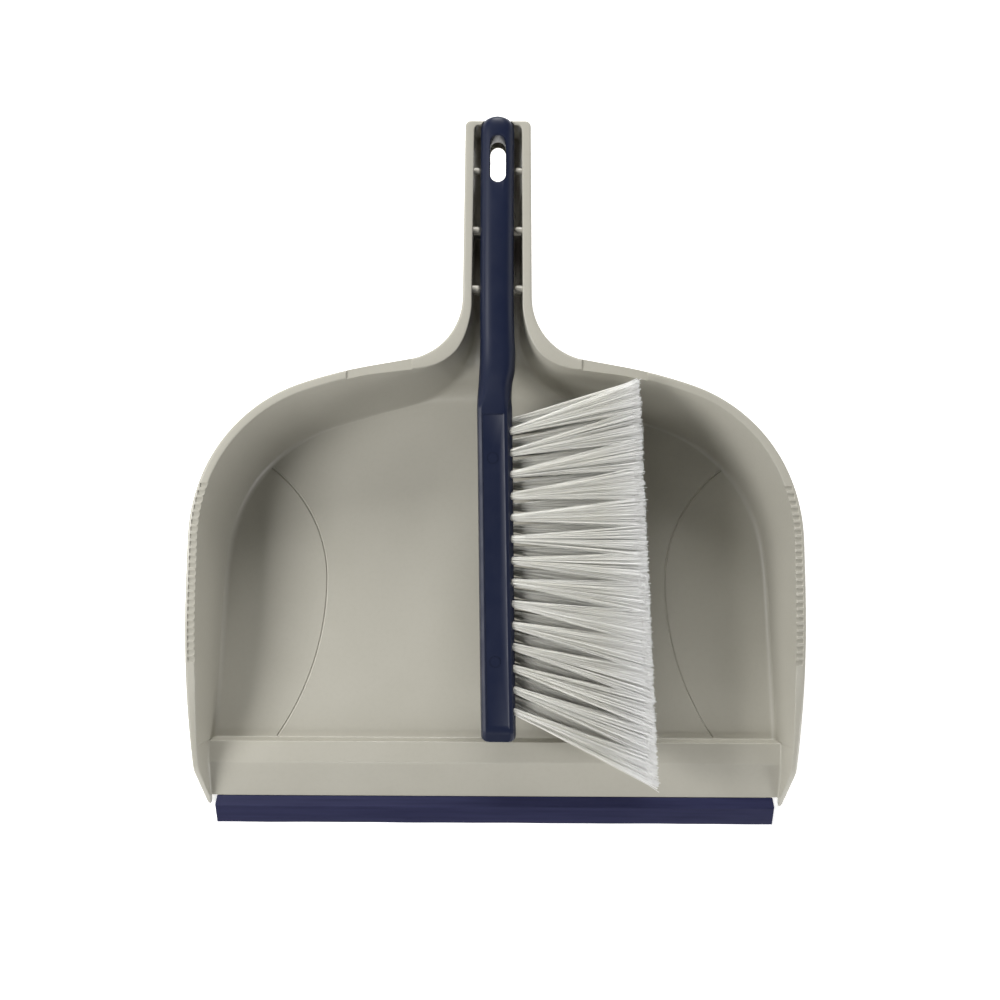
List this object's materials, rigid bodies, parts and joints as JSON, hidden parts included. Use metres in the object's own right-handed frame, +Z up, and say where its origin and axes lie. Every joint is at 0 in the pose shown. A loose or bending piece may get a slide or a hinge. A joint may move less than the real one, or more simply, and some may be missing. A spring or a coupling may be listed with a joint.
{
  "type": "dust pan and brush set",
  "caption": "Shallow moulded dust pan with a flared hollow handle, rubber lip and comb-toothed rim, with a long-bristled hand brush clipped on its side in the handle.",
  "frame": {"origin": "on the floor, at the middle of the set's length and width", "axes": "+Z up, +Y from the pan's mouth to the end of the handle, +X to the side that the bristles point to"},
  "size_m": [0.3308, 0.3841, 0.0704],
  "materials": {
    "pan": "satin moulded polypropylene",
    "rubber": "smooth dark blue soft rubber",
    "brush": "satin navy moulding",
    "bristle": "off-white synthetic filament"
  },
  "bodies": {
    "pan": {"pan_shell": "pan", "rubber_lip": "rubber"},
    "brush": {"brush_body": "brush", "tuft_1_01": "bristle", "tuft_1_02": "bristle", "tuft_1_03": "bristle", "tuft_1_04": "bristle", "tuft_1_05": "bristle", "tuft_1_06": "bristle", "tuft_1_07": "bristle", "tuft_1_08": "bristle", "tuft_1_09": "bristle", "tuft_1_10": "bristle", "tuft_1_11": "bristle", "tuft_1_12": "bristle", "tuft_1_13": "bristle", "tuft_1_14": "bristle", "tuft_2_01": "bristle", "tuft_2_02": "bristle", "tuft_2_03": "bristle", "tuft_2_04": "bristle", "tuft_2_05": "bristle", "tuft_2_06": "bristle", "tuft_2_07": "bristle", "tuft_2_08": "bristle", "tuft_2_09": "bristle", "tuft_2_10": "bristle", "tuft_2_11": "bristle", "tuft_2_12": "bristle", "tuft_2_13": "bristle", "tuft_2_14": "bristle", "tuft_3_01": "bristle", "tuft_3_02": "bristle", "tuft_3_03": "bristle", "tuft_3_04": "bristle", "tuft_3_05": "bristle", "tuft_3_06": "bristle", "tuft_3_07": "bristle", "tuft_3_08": "bristle", "tuft_3_09": "bristle", "tuft_3_10": "bristle", "tuft_3_11": "bristle", "tuft_3_12": "bristle", "tuft_3_13": "bristle", "tuft_3_14": "bristle", "tuft_4_01": "bristle", "tuft_4_02": "bristle", "tuft_4_03": "bristle", "tuft_4_04": "bristle", "tuft_4_05": "bristle", "tuft_4_06": "bristle", "tuft_4_07": "bristle", "tuft_4_08": "bristle", "tuft_4_09": "bristle", "tuft_4_10": "bristle", "tuft_4_11": "bristle", "tuft_4_12": "bristle", "tuft_4_13": "bristle", "tuft_4_14": "bristle"}
  },
  "joints": [
    {"name": "brush_lift", "type": "slide", "parent": "pan", "child": "brush", "axis": [0, 0, 1], "range_m": [0, 0.15]}
  ]
}
